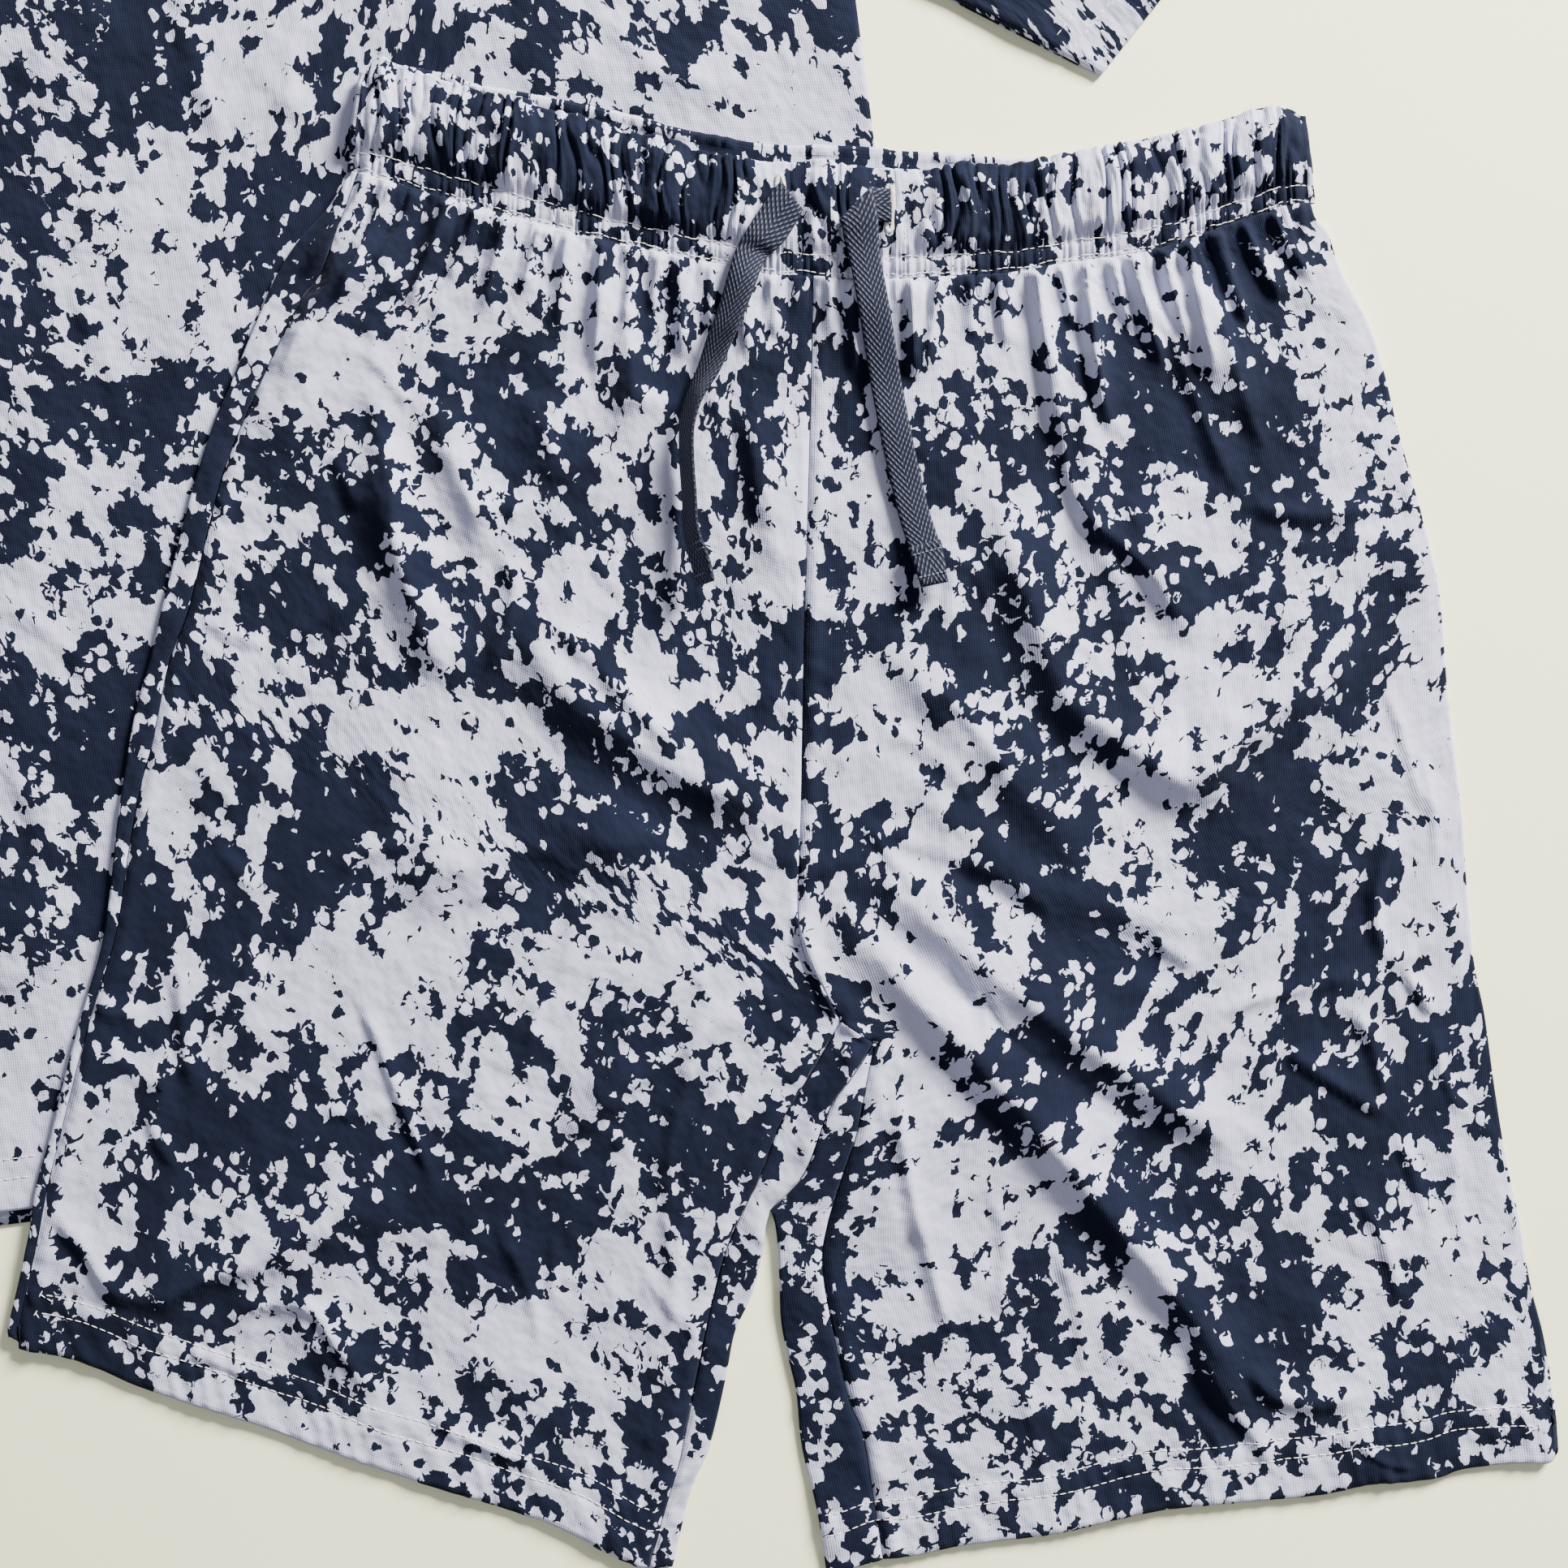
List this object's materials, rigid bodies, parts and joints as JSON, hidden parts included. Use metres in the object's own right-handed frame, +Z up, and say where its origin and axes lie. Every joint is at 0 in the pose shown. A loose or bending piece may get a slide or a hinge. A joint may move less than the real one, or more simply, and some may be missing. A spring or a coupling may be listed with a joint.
{
  "type": "pyjama set",
  "caption": "Short-sleeved jersey pyjama top laid flat with matching drawstring shorts on its lower corner; gathered elastic waist, turned hems, tape drawcord ends.",
  "frame": {"origin": "middle of the set's bounding box, on the flat surface it lies on", "axes": "+Z up from the surface; +Y towards the neck of the top and the waist of the shorts; +X to the viewer's right looking down"},
  "size_m": [0.9, 0.7682, 0.0147],
  "materials": {
    "top_jersey": "matt printed jersey, navy mottle on pale lavender grey",
    "neck_rib": "matt printed rib jersey",
    "shorts_jersey": "matt printed jersey, navy mottle on pale lavender grey",
    "waistband_jersey": "matt gathered printed jersey over elastic",
    "drawcord_tape": "matt herringbone tape",
    "buttonhole_thread": "satin stitch thread"
  },
  "bodies": {
    "root": {"top_front": "top_jersey", "top_back": "top_jersey", "sleeve_left": "top_jersey", "sleeve_right": "top_jersey", "neckband": "neck_rib", "shorts_front_left": "shorts_jersey", "shorts_front_right": "shorts_jersey", "shorts_back_left": "shorts_jersey", "shorts_back_right": "shorts_jersey", "waistband": "waistband_jersey", "drawcord_left": "drawcord_tape", "drawcord_right": "drawcord_tape", "buttonhole_left": "buttonhole_thread", "buttonhole_right": "buttonhole_thread"}
  },
  "joints": []
}
